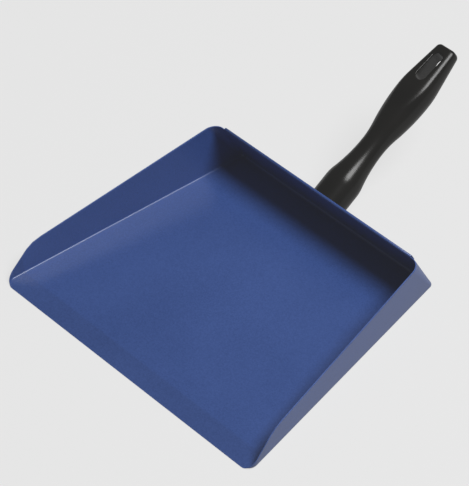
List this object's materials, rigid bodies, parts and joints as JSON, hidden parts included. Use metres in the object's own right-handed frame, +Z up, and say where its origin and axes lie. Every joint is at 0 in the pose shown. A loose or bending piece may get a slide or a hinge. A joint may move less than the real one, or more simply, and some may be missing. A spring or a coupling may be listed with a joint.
{
  "type": "dustpan",
  "caption": "Open-front sheet-steel dustpan with tapered side walls, forward-leaning hemmed back wall and a waisted plastic grip with a hang slot.",
  "frame": {"origin": "middle of the bounding box's footprint, on the surface that the pan stands on", "axes": "+X across the pan, +Y from the lip to the grip's end, +Z up from the floor"},
  "size_m": [0.279, 0.3768, 0.1078],
  "materials": {
    "pan_coating": "satin blue powder coat on sheet steel",
    "tang_steel": "zinc-plated steel",
    "grip_plastic": "black moulded plastic with a soft sheen",
    "screw_steel": "zinc-plated steel"
  },
  "bodies": {
    "root": {"pan": "pan_coating", "tang": "tang_steel", "grip": "grip_plastic", "grip_screw": "screw_steel"}
  },
  "joints": []
}
